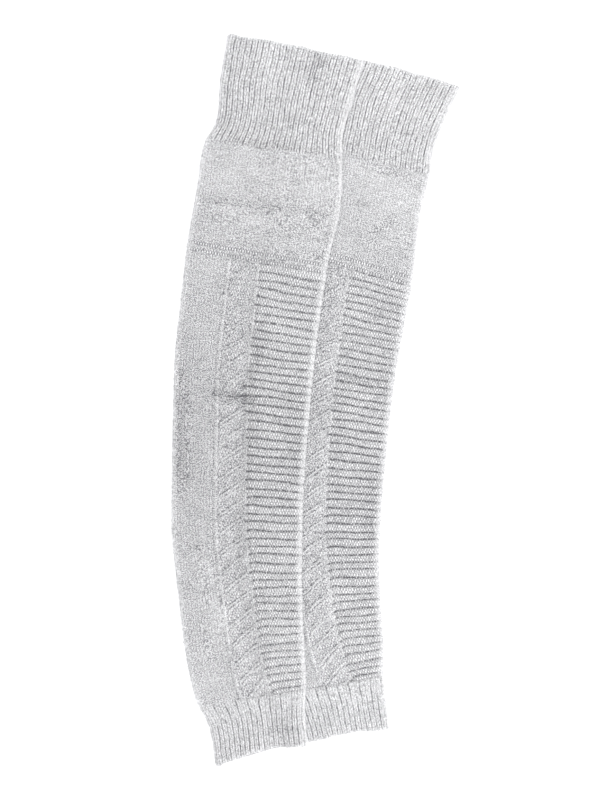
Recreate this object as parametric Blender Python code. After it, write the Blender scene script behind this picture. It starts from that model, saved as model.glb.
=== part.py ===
"""A pair of footless wool stockings, knitted tubes with ribbed ends, laid flat with the left one on the right.

Each stocking is three closed solids: a thigh cuff, a leg and an ankle cuff. Each solid is one flattened tube
of cloth, with a wall of real thickness, both ends open and a thin slit of air between its two layers. A tube
is a skin of lines that run along the leg. Lines that carry fine relief have many stations and plain ones have
few, and neighbouring lines are zipped together. All sizes are in millimetres until the points are handed to
Blender.
"""

import math

import bmesh
import bpy
import numpy as np

MM = 0.001

# The cloth
WALL = 1.7  # one layer of plain knit
INNER_GAP = 0.5  # air between the two layers of a flattened tube
TUBE_HEIGHT = 2 * WALL + INNER_GAP
FOLD_RADIUS = TUBE_HEIGHT / 2  # outer radius of the folds at the two sides
INNER_RADIUS = FOLD_RADIUS - WALL
SEAM_GAP = 0.3  # between a cuff and the leg that it is linked to
COARSE_STEP = 13.0  # between the stations of a plain line
SAME_STATION = 0.05  # stations this near are one

# Relief that stands up from the plain cloth
RIB_HEIGHT = 1.0
RIB_FLANK = 0.3  # where a rib reaches its full height, as a share of the rib's width
RIDGE_HEIGHT = 1.3
RIDGE_FLANK = 0.22
RIDGE_COUNT = 52
ROPE_HEIGHT = 0.9
ROPE_PITCH = 15.5  # along the leg, from one slanting strand to the next
ROPE_DROP = 19.0  # how much lower a strand lies at the left of its panel than at the right
ROPE_PARTS = (0.18, 0.34, 0.5, 0.66, 0.82)  # where the panel has its lines, as shares of its width
EDGE_RIB_HEIGHT = 0.6  # the single raised wales on both sides of the rope panel
EDGE_RIB_HALF = 1.2
PURL_ROW_HEIGHT = 0.7
PURL_ROW_HALF = 1.6
FOLD_RELIEF = 0.8  # how much of the relief is left where the cloth turns over at the side, as a share
FOLD_INSET = 0.8  # room inside the flat width for that relief
FOLD_TURNS = (0, -45)  # angles of the lines round the right fold, which are mirrored round the left one

# Panels of the leg, as distances from its left side
PLAIN_WIDTH = 37.5
ROPE_WIDTH = 25.5
RIDGES_START = PLAIN_WIDTH + ROPE_WIDTH
RAMP_RIDGE_LINES = (68.0, 72.0, 76.0, 80.0, 84.0)  # where the upper stocking's ridges bend over the lower one

# Distances along the leg from the station of the purl row: its two lines, and the groove where the panels
# start
PURL_ROWS = (-1.0, 5.0)
PANELS_START = 7.0
RIDGES_END = 2.5  # from the last groove to the ankle seam

THIGH_RIBS = 23
ANKLE_RIBS = 18
WIDE_RIB_BAND = 15.0  # length of the band of double-width ribs at the top of the ankle cuff

# How the upper stocking lies over the lower one
RISE = TUBE_HEIGHT + RIB_HEIGHT + 0.4  # how far it is lifted where it lies on the lower one
RAMP = 16.0  # how far from the lower stocking's side it starts to rise
RAMP_PARTS = (1.0, 0.75, 0.5, 0.25, 0.0)  # where its plain layers have a line on the ramp, as shares of RAMP
PLAIN_SHARES = (0.25, 0.5, 0.75)  # where a plain layer has a line between a fold and the ramp or next fold

# A row for each section: name, middle x, middle y, flat width, tilt of the knitted row in degrees, and bow,
# which is how far the middle of the row lies above its two ends.
LEFT_SECTIONS = (
    ("top edge", -17.0, 299.0, 118.0, -11.5, 0.5),
    ("cuff middle", -25.5, 262.0, 113.5, -10.5, 0.0),
    ("above step", -32.0, 225.5, 109.5, -8.5, 0.0),
    ("cuff seam", -35.5, 212.0, 117.5, -8.5, 0.0),
    ("thigh", -39.5, 174.0, 123.5, -8.5, 0.0),
    ("purl row", -49.5, 123.5, 121.0, -10.0, 0.0),
    ("knee", -56.5, 72.0, 119.0, -10.0, 0.0),
    ("under knee", -61.0, 32.5, 118.5, -8.0, 0.0),
    ("calf", -64.0, -16.5, 115.5, -6.5, 0.0),
    ("mid calf", -66.5, -68.5, 112.5, -5.0, 0.0),
    ("low calf", -67.0, -117.0, 110.5, -3.0, 0.0),
    ("shin", -64.0, -170.0, 104.5, 0.0, 0.0),
    ("above ankle", -59.5, -218.5, 100.0, 5.0, 0.0),
    ("ankle seam", -54.0, -252.0, 92.5, 10.0, 0.0),
    ("below step", -51.0, -265.0, 84.5, 10.5, 1.0),
    ("bottom edge", -46.0, -302.0, 80.0, 13.5, 5.0),
)
RIGHT_SECTIONS = (
    ("top edge", 64.5, 278.5, 118.5, -13.0, 3.5),
    ("cuff middle", 52.5, 251.5, 116.5, -14.0, 1.0),
    ("above step", 44.0, 218.5, 112.0, -13.5, 0.0),
    ("cuff seam", 41.5, 204.0, 114.0, -14.5, 0.0),
    ("thigh", 34.5, 173.0, 114.0, -14.5, 0.0),
    ("purl row", 26.0, 119.5, 118.0, -16.5, 0.0),
    ("knee", 19.5, 83.5, 116.5, -13.5, 0.0),
    ("under knee", 13.0, 43.5, 115.0, -11.0, 0.0),
    ("calf", 7.0, -7.0, 113.5, -8.5, 0.0),
    ("mid calf", 2.0, -63.5, 112.0, -5.5, 0.0),
    ("low calf", -0.5, -117.0, 109.5, -1.5, 0.0),
    ("shin", 3.0, -174.0, 104.0, 3.0, 0.0),
    ("above ankle", 8.5, -214.0, 99.5, 8.0, 0.0),
    ("ankle seam", 13.0, -241.5, 91.0, 10.5, 0.0),
    ("below step", 16.5, -254.0, 85.5, 10.5, 1.0),
    ("bottom edge", 23.5, -285.5, 80.0, 10.0, 2.5),
)
PLAN_MIDDLE = (-0.65, -0.3)  # the middle of the pair in the plan of these tables, which becomes the origin

COLOUR = (0.60, 0.60, 0.615, 1.0)
ROUGHNESS = 0.95


def smoothstep(value):
    value = min(max(value, 0.0), 1.0)
    return value * value * (3 - 2 * value)


class Course:
    """The way a stocking lies: its middle, width and tilt at any station, a distance from its top."""

    def __init__(self, sections):
        self.names = [row[0] for row in sections]
        self.values = np.array([row[1:] for row in sections], float)
        self.values[:, :2] -= PLAN_MIDDLE
        steps = np.hypot(*np.diff(self.values[:, :2], axis=0).T)
        self.stations = np.concatenate([[0.0], np.cumsum(steps)])
        self.slopes = np.gradient(self.values, self.stations, axis=0)
        self.length = self.stations[-1]

    def station(self, name):
        return self.stations[self.names.index(name)]

    def at(self, station):
        """(middle x, middle y, width, tilt in radians, bow) on a smooth curve through the sections."""
        i = int(np.clip(np.searchsorted(self.stations, station) - 1, 0, len(self.stations) - 2))
        span = self.stations[i + 1] - self.stations[i]
        t = (station - self.stations[i]) / span
        near, far = self.values[i], self.values[i + 1]
        leave, arrive = self.slopes[i] * span, self.slopes[i + 1] * span
        x, y, width, tilt, bow = (
            (2 * t**3 - 3 * t**2 + 1) * near
            + (t**3 - 2 * t**2 + t) * leave
            + (3 * t**2 - 2 * t**3) * far
            + (t**3 - t**2) * arrive
        )
        return x, y, width, math.radians(tilt), bow

    def place(self, station, from_left):
        """The plan position of a point this far from the left side, measured along its knitted row."""
        x, y, width, tilt, bow = self.at(station)
        across = from_left - width / 2
        rise = bow * (1 - (2 * across / width) ** 2)
        cos, sin = math.cos(tilt), math.sin(tilt)
        return x + across * cos - rise * sin, y + across * sin + rise * cos


class Stocking:
    """One stocking: its course, and the step that it climbs where it lies over another one."""

    def __init__(self, sections, lies_over=None):
        self.course = Course(sections)
        self.step_x = self.step_y = None
        if lies_over:
            lower = lies_over.course
            edge = [lower.place(s, 0.0) for s in np.arange(0.0, lower.length, COARSE_STEP)]
            self.step_x, self.step_y = np.array(edge[::-1]).T

    def lift(self, x, y):
        if self.step_x is None:
            return 0.0
        past_edge = x - np.interp(y, self.step_y, self.step_x)
        return RISE * smoothstep(1 + past_edge / RAMP)

    def step(self, station):
        """How far from its left side a knitted row passes over the lower stocking's side."""
        from_left = 0.6 * self.course.at(station)[2]
        for _ in range(6):
            x, y = self.course.place(station, from_left)
            from_left += np.interp(y, self.step_y, self.step_x) - x
        return from_left

    def left_fold(self, station):
        return FOLD_RADIUS

    def right_fold(self, station):
        return self.course.at(station)[2] - FOLD_RADIUS - FOLD_INSET

    def plain_centres(self):
        """The centres of the lines of a plain layer, from the left fold to the right one."""
        def between(one, other):
            return [lambda s, k=share: one(s) + k * (other(s) - one(s)) for share in PLAIN_SHARES]

        def along(part):
            return lambda station: self.step(station) - part * RAMP

        left, right = self.left_fold, self.right_fold
        if self.step_x is None:
            return [left, *between(left, right), right]
        ramp = [along(part) for part in RAMP_PARTS]
        return [left, *between(left, ramp[0]), *ramp, *between(ramp[-1], right), right]

    def point(self, station, centre, angle, radius):
        """A point of a skin, by the centre of its fold from the left side, its angle and its distance."""
        x, y = self.course.place(station, centre + radius * math.cos(angle))
        return x, y, FOLD_RADIUS + radius * math.sin(angle) + self.lift(x, y)


def wave(phase, flank):
    """0 in the groove at each whole phase, and 1 on the flat top between its two flanks."""
    phase -= math.floor(phase)
    return smoothstep(min(phase, 1 - phase) / flank)


def rope(station, from_left):
    """The slanting strands of the panel beside the ridges, rounded like the strands of a rope."""
    into = (from_left - PLAIN_WIDTH) / ROPE_WIDTH
    phase = (station + ROPE_DROP * into) / ROPE_PITCH
    ends = smoothstep(6 * into) * smoothstep(6 * (1 - into))
    return ROPE_HEIGHT * ends * (0.5 + 0.5 * math.cos(2 * math.pi * phase))


class LegRelief:
    """The relief of a leg's face: plain cloth down to two lines of purl, and its panels under them."""

    def __init__(self, course):
        self.purl = course.station("purl row")
        self.first = self.purl + PANELS_START
        self.pitch = (course.station("ankle seam") - RIDGES_END - self.first) / RIDGE_COUNT

    def ridge(self, station):
        if station < self.first or station > self.first + RIDGE_COUNT * self.pitch:
            return 0.0
        return RIDGE_HEIGHT * wave((station - self.first) / self.pitch, RIDGE_FLANK)

    def purl_rows(self, station):
        nearest = min(abs(station - self.purl - row) for row in PURL_ROWS)
        return PURL_ROW_HEIGHT * smoothstep(1.5 * (1 - nearest / PURL_ROW_HALF))

    def height(self, station, from_left):
        if station < self.first:
            return self.purl_rows(station)
        if from_left > RIDGES_START:
            return self.ridge(station)
        if from_left > PLAIN_WIDTH:
            return rope(station, from_left)
        return 0.0

    def fine_stations(self):
        """A station in each groove and at both shoulders of each ridge."""
        phases = [k + part for k in range(RIDGE_COUNT) for part in (0, RIDGE_FLANK, 1 - RIDGE_FLANK)]
        return [self.first + self.pitch * phase for phase in [*phases, RIDGE_COUNT]]

    def purl_stations(self):
        return [self.purl + row + side * PURL_ROW_HALF for row in PURL_ROWS for side in (-1, 0, 1)]


def spaced(start, end, extra=()):
    """Stations from start to end about a coarse step apart, with the extra ones that fall between."""
    count = max(2, round((end - start) / COARSE_STEP) + 1)
    found = [float(s) for s in np.linspace(start, end, count)]
    inside = sorted(s for s in extra if start + SAME_STATION < s < end - SAME_STATION)
    kept = [s for s in found[1:-1] if all(abs(s - other) > COARSE_STEP / 4 for other in inside)]
    return sorted([start, end, *kept, *inside])


class Line:
    """One line of a skin, running along the stocking: where it is round the tube and where its points are."""

    def __init__(self, order, centre, angle, stations, radius):
        self.order = order  # its place in the ring: 0 to 1 over the face, 1 to 2 round the side and back
        self.centre = centre  # the centre of its fold, from the left side, as a function of the station
        self.angle = math.radians(angle)
        self.stations = stations
        self.radius = radius  # its distance from that centre, as a function of the station and the centre

    def make(self, mesh, stocking):
        made = []
        for station in self.stations:
            centre = self.centre(station)
            point = stocking.point(station, centre, self.angle, self.radius(station, centre))
            made.append((station, mesh.verts.new([MM * value for value in point])))
        return made


def in_order(first, last, lines):
    """Spread the places of some lines evenly over a part of the ring."""
    for line, order in zip(lines, np.linspace(first, last, len(lines))):
        line.order = float(order)
    return lines


def face_line(from_left, stations, radius):
    """A line on the upper layer, a fixed distance from the left side."""
    return Line(0, lambda station: from_left, 90, stations, radius)


def back_lines(stocking, stations, radius, turns):
    """The lines of the lower layer and of both folds, from the right side round to the left one."""
    lines = [Line(0, stocking.right_fold, turn, stations, radius) for turn in turns]
    lines += [Line(0, centre, -90, stations, radius) for centre in reversed(stocking.plain_centres())]
    lines += [Line(0, stocking.left_fold, 180 - turn, stations, radius) for turn in reversed(turns)]
    return lines


def inner_lines(stocking, stations):
    """The skin inside the tube, which is plain."""
    def radius(station, place):
        return INNER_RADIUS

    face = [Line(0, centre, 90, stations, radius) for centre in stocking.plain_centres()]
    return in_order(0, 1, face) + in_order(1.1, 1.9, back_lines(stocking, stations, radius, (0,)))


def zip_lines(mesh, first, second):
    """Faces between two lines of (station, vertex), which need not have as many points."""
    i = j = 0
    while i < len(first) - 1 or j < len(second) - 1:
        ahead = first[i + 1][0] if i < len(first) - 1 else math.inf
        other = second[j + 1][0] if j < len(second) - 1 else math.inf
        if abs(ahead - other) < SAME_STATION:
            mesh.faces.new([first[i][1], first[i + 1][1], second[j + 1][1], second[j][1]])
            i, j = i + 1, j + 1
        elif ahead < other:
            mesh.faces.new([first[i][1], first[i + 1][1], second[j][1]])
            i += 1
        else:
            mesh.faces.new([first[i][1], second[j + 1][1], second[j][1]])
            j += 1


def zip_rim(mesh, outer_lines, outer, inner_skin, inner, end):
    """The rim of the cloth at one end of the tube, between its outer and its inner ring."""
    turn = 2.0
    rings = []
    for lines, points in ((outer_lines, outer), (inner_skin, inner)):
        ring = [(line.order, made[end][1]) for line, made in zip(lines, points)]
        rings.append([*ring, (ring[0][0] + turn, ring[0][1])])
    zip_lines(mesh, *rings)


def tube(name, stocking, outer_lines, start, end, material):
    """A closed solid between the outer skin and the plain skin inside it."""
    inner_skin = inner_lines(stocking, spaced(start, end))
    mesh = bmesh.new()
    outer = [line.make(mesh, stocking) for line in outer_lines]
    inner = [line.make(mesh, stocking) for line in inner_skin]
    for skin in (outer, inner):
        for first, second in zip(skin, [*skin[1:], skin[0]]):
            zip_lines(mesh, first, second)
    for rim in (0, -1):
        zip_rim(mesh, outer_lines, outer, inner_skin, inner, rim)
    bmesh.ops.recalc_face_normals(mesh, faces=mesh.faces)
    data = bpy.data.meshes.new(name)
    mesh.to_mesh(data)
    mesh.free()
    data.materials.append(material)
    made = bpy.data.objects.new(name, data)
    bpy.context.scene.collection.objects.link(made)
    return made


def cuff(name, stocking, start, end, ribs, wide_until, material):
    """A ribbed tube. Above wide_until every second groove is missing, so the ribs there are twice as wide."""
    left, right = stocking.left_fold, stocking.right_fold

    def share_line(share):
        def centre(station):
            return left(station) + share * (right(station) - left(station))

        def ribbed(station, place):
            phase = share * ribs / (2 if station < wide_until else 1)
            return FOLD_RADIUS + RIB_HEIGHT * wave(phase, RIB_FLANK)
        return Line(0, centre, 90, stations, ribbed)

    def plain(station, place):
        return FOLD_RADIUS

    stations = spaced(start, end, (wide_until - 1.0, wide_until + 1.0))
    shares = [(k + part) / ribs for k in range(ribs) for part in (0, RIB_FLANK, 1 - RIB_FLANK)]
    face = in_order(0, 1, [share_line(share) for share in [*shares, 1.0]])
    back = in_order(1.1, 1.9, back_lines(stocking, spaced(start, end), plain, FOLD_TURNS))
    return tube(name, stocking, face + back, start, end, material)


def leg(name, stocking, start, end, material):
    """The leg: plain cloth above, and below the purl rows a plain, a rope and a ridged panel side by side."""
    relief = LegRelief(stocking.course)
    coarse = spaced(start, end, relief.purl_stations())
    fine = spaced(start, end, [*relief.purl_stations(), *relief.fine_stations()])

    def face(station, place):
        return FOLD_RADIUS + relief.height(station, place)

    def plain(station, place):
        return FOLD_RADIUS + (relief.purl_rows(station) if station < relief.first else 0.0)

    def edge_rib(station, place):
        return FOLD_RADIUS + EDGE_RIB_HEIGHT if station > relief.first else plain(station, place)

    def folded(station, place):
        return FOLD_RADIUS + FOLD_RELIEF * relief.ridge(station)

    def flat(station, place):
        return FOLD_RADIUS

    lines = [Line(0, stocking.left_fold, 90, coarse, plain)]
    lines += [face_line(d, coarse, plain) for d in (20.0, PLAIN_WIDTH - EDGE_RIB_HALF)]
    lines += [face_line(PLAIN_WIDTH, coarse, edge_rib), face_line(PLAIN_WIDTH + EDGE_RIB_HALF, coarse, plain)]
    lines += [face_line(PLAIN_WIDTH + ROPE_WIDTH * part, fine, face) for part in ROPE_PARTS]
    lines += [face_line(RIDGES_START - EDGE_RIB_HALF, coarse, plain)]
    lines += [face_line(RIDGES_START, coarse, edge_rib), face_line(RIDGES_START + EDGE_RIB_HALF, fine, face)]
    lines += [face_line(d, fine, face) for d in (RAMP_RIDGE_LINES if stocking.step_x is not None else ())]
    lines += [Line(0, stocking.right_fold, 90, fine, face), Line(0, stocking.right_fold, 45, fine, folded)]
    back = back_lines(stocking, coarse, flat, FOLD_TURNS)
    back[0].stations, back[0].radius = fine, folded
    return tube(name, stocking, in_order(0, 1, lines) + in_order(1.1, 1.9, back), start, end, material)


def stocking(side, made, material):
    """The three pieces of one stocking, from its top to its bottom edge."""
    course = made.course
    thigh_seam, ankle_seam = course.station("cuff seam"), course.station("ankle seam")
    cuff(side + "_thigh_cuff", made, 0.0, thigh_seam - SEAM_GAP / 2, THIGH_RIBS, -1.0, material)
    leg(side + "_leg", made, thigh_seam + SEAM_GAP / 2, ankle_seam - SEAM_GAP / 2, material)
    cuff(side + "_ankle_cuff", made, ankle_seam + SEAM_GAP / 2, course.length, ANKLE_RIBS,
         ankle_seam + WIDE_RIB_BAND, material)


def wool():
    """Pale grey heather wool, matt."""
    material = bpy.data.materials.new("grey_wool")
    material.use_nodes = True
    shader = material.node_tree.nodes["Principled BSDF"]
    shader.inputs["Base Color"].default_value = COLOUR
    shader.inputs["Roughness"].default_value = ROUGHNESS
    shader.inputs["Metallic"].default_value = 0.0
    return material


def main():
    for old in list(bpy.data.objects):
        bpy.data.objects.remove(old)
    material = wool()
    lower = Stocking(RIGHT_SECTIONS)
    upper = Stocking(LEFT_SECTIONS, lies_over=lower)
    stocking("right", lower, material)
    stocking("left", upper, material)


main()
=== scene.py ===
"""Dresses a pair of footless wool stockings: ribbed cuffs, patterned legs and loose fibres on a white ground.

The cloth is a thin shell over each solid's own form. Mesh code lays out the flattened tubes, node trees raise
the ribs, ridges and rope stitches on them, and one wool material draws the single stitches and the heather.
Sizes are in millimetres until the points are handed to Blender. Stations are distances along a stocking from
its top edge.
"""

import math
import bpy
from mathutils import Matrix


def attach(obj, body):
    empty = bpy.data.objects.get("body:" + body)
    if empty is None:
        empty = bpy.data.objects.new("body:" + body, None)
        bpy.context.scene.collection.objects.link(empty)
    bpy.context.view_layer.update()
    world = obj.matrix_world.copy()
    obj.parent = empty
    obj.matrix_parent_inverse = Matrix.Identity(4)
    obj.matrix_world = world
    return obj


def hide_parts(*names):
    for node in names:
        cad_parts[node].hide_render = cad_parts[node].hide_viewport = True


bl_info = {
    "name": "Footless wool stockings",
    "version": (1, 0, 0),
    "blender": (4, 5, 0),
    "location": "3D View > Sidebar > Stockings",
    "description": "Knits a pair of footless wool stockings on their solids",
    "category": "Object",
}

import bpy
import numpy as np
from bpy.props import FloatProperty, FloatVectorProperty, IntProperty, PointerProperty
from mathutils import Vector

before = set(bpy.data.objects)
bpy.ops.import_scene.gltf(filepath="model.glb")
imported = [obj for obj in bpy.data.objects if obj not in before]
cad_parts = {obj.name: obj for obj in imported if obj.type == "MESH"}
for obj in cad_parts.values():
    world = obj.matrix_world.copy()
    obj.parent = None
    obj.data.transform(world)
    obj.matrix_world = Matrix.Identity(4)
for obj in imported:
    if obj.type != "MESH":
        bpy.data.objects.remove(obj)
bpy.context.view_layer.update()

MM = 0.001

# The cloth, as in the solids
WALL = 1.7
INNER_GAP = 0.5
TUBE_HEIGHT = 2 * WALL + INNER_GAP
FOLD_RADIUS = TUBE_HEIGHT / 2
INNER_RADIUS = FOLD_RADIUS - WALL
FOLD_INSET = 0.8
RIB_RELIEF = 1.0
RISE = TUBE_HEIGHT + RIB_RELIEF + 0.4  # how far the upper stocking is lifted where it lies on the lower one
RAMP = 16.0  # length of the slope up to it, over the calf
EDGE_ROUNDING = 0.8  # how far back from an open edge its round shape reaches
FACE_WIDTH = 110  # mean width of a cuff's upper layer

# The knitting
WALE = 2.5  # width of a stitch
COURSE = 1.72  # height of a stitch
PLAIN_WIDTH = 37.5
ROPE_WIDTH = 25.5
RIDGES_START = PLAIN_WIDTH + ROPE_WIDTH
PURL_ROWS = (-1.0, 5.0)
PANELS_START = 7.0
RIDGES_END = 2.5
RIDGE_COUNT = 52
THIGH_RIBS = 23
ANKLE_RIBS = 18
WIDE_RIB_BAND = 15.0
NO_WIDE_RIBS = -10.0  # a band that ends before its cuff begins
STRANDS = (0.15, 0.37)  # places of the two rope strands in their pitch

# How close the points of the shells lie
LINES_A_RIB = 12
LINES_OVER_RIDGES = 82
ROWS_A_RIDGE = 11
PLAIN_STEP = 3.0
PURL_STEP = 0.55
COARSE_STEP = 6.0
LINING_STEP = 10.0

# Grain of the wool, as noise scales
SLOW_WANDER = 90.0
QUICK_WANDER = 260.0
CLOUDS = 45.0
SPECKS = 1050.0
FIBRES = 1500.0

# Stations where a leg is drawn darker or paler, each a middle and a half length or a start and an end:
# painted shade in the middle of the leg, where the ridges' grooves end by the ropes and in the pinch, and
# painted light towards the ankle end; the ropes and the plain cloth just above the panels are drawn darker
# too
DARKER_LEG = (340, 150)
DARKER_GROOVE_ENDS = (330, 210)
DARKER_ROPES = (280, 120)
PALE_END = (440, 520)
ABOVE_PANELS = (105, 165)
PINCH = (301, 5.5)

# A row for each section: its name, and for the left and then the right stocking the middle x and y, the flat
# width, the tilt of the knitted row in degrees, and the bow, which is how far its middle lies above its ends.
SECTIONS = (
    ("top edge", (-17, 299, 118, -11.5, 0.5), (64.5, 278.5, 118.5, -13, 3.5)),
    ("cuff middle", (-25.5, 262, 113.5, -10.5, 0), (52.5, 251.5, 116.5, -14, 1)),
    ("above step", (-32, 225.5, 109.5, -8.5, 0), (44, 218.5, 112, -13.5, 0)),
    ("cuff seam", (-35.5, 212, 117.5, -8.5, 0), (41.5, 204, 114, -14.5, 0)),
    ("thigh", (-39.5, 174, 123.5, -8.5, 0), (34.5, 173, 114, -14.5, 0)),
    ("purl row", (-49.5, 123.5, 121, -10, 0), (26, 119.5, 118, -16.5, 0)),
    ("knee", (-56.5, 72, 119, -10, 0), (19.5, 83.5, 116.5, -13.5, 0)),
    ("under knee", (-61, 32.5, 118.5, -8, 0), (13, 43.5, 115, -11, 0)),
    ("calf", (-64, -16.5, 115.5, -6.5, 0), (7, -7, 113.5, -8.5, 0)),
    ("mid calf", (-66.5, -68.5, 112.5, -5, 0), (2, -63.5, 112, -5.5, 0)),
    ("low calf", (-67, -117, 110.5, -3, 0), (-0.5, -117, 109.5, -1.5, 0)),
    ("shin", (-64, -170, 104.5, 0, 0), (3, -174, 104, 3, 0)),
    ("above ankle", (-59.5, -218.5, 100, 5, 0), (8.5, -214, 99.5, 8, 0)),
    ("ankle seam", (-54, -252, 92.5, 10, 0), (13, -241.5, 91, 10.5, 0)),
    ("below step", (-51, -265, 84.5, 10.5, 1), (16.5, -254, 85.5, 10.5, 1)),
    ("bottom edge", (-46, -302, 80, 13.5, 5), (23.5, -285.5, 80, 10, 2.5)),
)
PLAN_MIDDLE = (-0.65, -0.3)

# Creases of the upper layer: station and distance from the left side of the middle, the direction in degrees
# from the knitted row, half length, half width, and height, which is negative in a trough.
LEFT_CREASES = (
    (18, 78, 84, 24, 8, -1.5),
    (45, 5, 90, 60, 5, -0.8),
    (30, 40, 80, 26, 12, 0.9),
    (62, 66, -6, 26, 2.5, -0.7),
    (86, 60, 0, 66, 4.5, -1.2),
    (113, 84, 6, 14, 2, -0.8),
    (122, 96, -3, 22, 5, 0.5),
    (139, 22, 3, 44, 2.6, -1.2),
    (138, 72, 2, 42, 2.4, -1.2),
    (136, 104, 0, 14, 2.6, -0.6),
    (150, 40, -8, 36, 7, 0.6),
    (166, 92, 4, 24, 5, 0.5),
    (212, 44, 60, 20, 5, 0.8),
    (256, 72, 84, 26, 6, -1.1),
    (302, 44, -3, 32, 2.4, -0.7),
    (300, 72, 6, 26, 2.8, -0.7),
    (311, 40, -10, 22, 3, 0.8),
    (405, 68, 86.8, 120, 10, -0.25),
    (335, 3, 92, 70, 10, -1.4),
    (352, 36, 10, 14, 4, 0.8),
    (430, 18, -6, 20, 2.5, -0.7),
    (470, 30, 100, 40, 8, 0.7),
    (505, 20, 95, 30, 5, -0.6),
    (320, 100, 88, 60, 8, -0.8),
    (590, 62, 0, 26, 4, -0.9),
)
RIGHT_CREASES = (
    (22, 70, 84, 24, 8, 0.8),
    (50, 88, -8, 22, 3.5, -0.8),
    (84, 86, -4, 40, 3, -0.8),
    (116, 60, 12, 14, 1.8, -1),
    (128, 84, 50, 20, 4, -0.8),
    (108, 104, -12, 22, 6, 0.25),
    (134, 104, 0, 16, 4, 0.3),
    (246, 58, 60, 18, 6, 0.8),
    (264, 86, 0, 36, 5, -0.8),
    (372, 100, 92, 60, 8, -0.9),
    (440, 66, 86, 34, 7, 0.8),
    (545, 54, 0, 20, 6, 0.8),
)
FIBRES_AT_SIDES = {"left": (7.0, 0.8), "right": (0.0, 2.0)}  # how dense they are at the left and right folds
DRAWN_IN = {"left": 299.0, "right": -1000.0}  # where the grooves run on into the ropes, if at all

# The stage, in metres
GROUND_HALF = 4.0
LAMP_SIZE = 0.5
LAMP_PLACE = (0.30, 0.70, 0.60)
LAMP_AIM = 0.25
SENSOR_HEIGHT = 24.0  # this one in millimetres, as lenses are


class KnitSizes(bpy.types.PropertyGroup):
    """Heights of what the knitting raises, and how the rope strands lie."""

    rib: FloatProperty(name="Rib", description="Height of the cuffs' ribs", default=0.0011, unit="LENGTH")
    ridge: FloatProperty(name="Ridge", description="Height of a cross ridge", default=0.0013, unit="LENGTH")
    rope: FloatProperty(name="Rope", description="Height of a rope strand", default=0.0009, unit="LENGTH")
    purl: FloatProperty(name="Purl", description="Height of a purl stitch", default=0.0005, unit="LENGTH")
    wale_edge: FloatProperty(name="Edge wale", description="Height of the two single wales beside the rope",
                             default=0.0007, unit="LENGTH")
    rope_pitch: FloatProperty(name="Rope pitch", description="Distance between two pairs of strands",
                              default=0.0155, unit="LENGTH")
    rope_drop: FloatProperty(name="Rope drop", description="How far a strand falls across its panel",
                             default=0.019, unit="LENGTH")


class WoolLook(bpy.types.PropertyGroup):
    """Colours and finish of the yarn, with the colours of its painted shade and painted highlight."""

    light: FloatVectorProperty(name="Light fibres", description="Colour of the palest wool", subtype="COLOR",
                               default=(0.95, 0.95, 0.965))
    dark: FloatVectorProperty(name="Dark fibres", description="Colour of the darkest wool", subtype="COLOR",
                              default=(0.24, 0.24, 0.252))
    # Painted shade: the colour that the gaps between stitches and the grooves are drawn towards
    shade: FloatVectorProperty(name="Grooves", description="Colour between the stitches and in the grooves",
                               subtype="COLOR", default=(0.10, 0.10, 0.11))
    # Painted highlight: the paler colour that the folds and open edges are drawn towards
    nap_and_painted_highlight: FloatVectorProperty(name="Nap", description="Colour of the nap at the folds and open edges",
                             subtype="COLOR", default=(0.70, 0.70, 0.71))
    roughness: FloatProperty(name="Roughness", description="How matt the yarn is", default=0.95, min=0, max=1)
    sheen: FloatProperty(name="Sheen", description="Soft light on the nap", default=0.35, min=0, max=1)
    stitch: FloatProperty(name="Stitch depth", description="Depth of the stitches in the material's bump",
                          default=0.0007, unit="LENGTH")


class FuzzSizes(bpy.types.PropertyGroup):
    """Loose fibres that stand off the yarn."""

    length: FloatProperty(name="Length", description="Mean length of a fibre", default=0.0042, unit="LENGTH")
    width: FloatProperty(name="Width", description="Width of a loose fibre", default=0.00016, unit="LENGTH")
    density: FloatProperty(name="Density", description="Loose fibres a square metre", default=420000.0, min=0)
    seed: IntProperty(name="Seed", description="Which scatter of fibres is used", default=7)


class StageLook(bpy.types.PropertyGroup):
    """The ground, the light and the camera."""

    ground: FloatVectorProperty(name="Ground", description="Colour of the ground", subtype="COLOR",
                                default=(0.60, 0.60, 0.60))
    glow: FloatProperty(name="Glow", description="Light that the ground gives off, as a light table does",
                        default=0.75, min=0)
    sky: FloatProperty(name="Sky", description="Strength of the light from all round", default=0.91, min=0)
    lamp: FloatProperty(name="Lamps", description="Power of each of the two soft lamps", default=5.6, min=0,
                        unit="POWER")
    distance: FloatProperty(name="Camera distance", description="Height of the camera above the ground",
                            default=2.6, unit="LENGTH")
    seen: FloatProperty(name="Seen height", description="Length of ground from bottom to top of the picture",
                        default=0.680, unit="LENGTH")
    middle: FloatVectorProperty(name="Middle", description="Point of the ground at the middle of the picture",
                                size=2, default=(-0.01295, 0.0003), unit="LENGTH")


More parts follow.
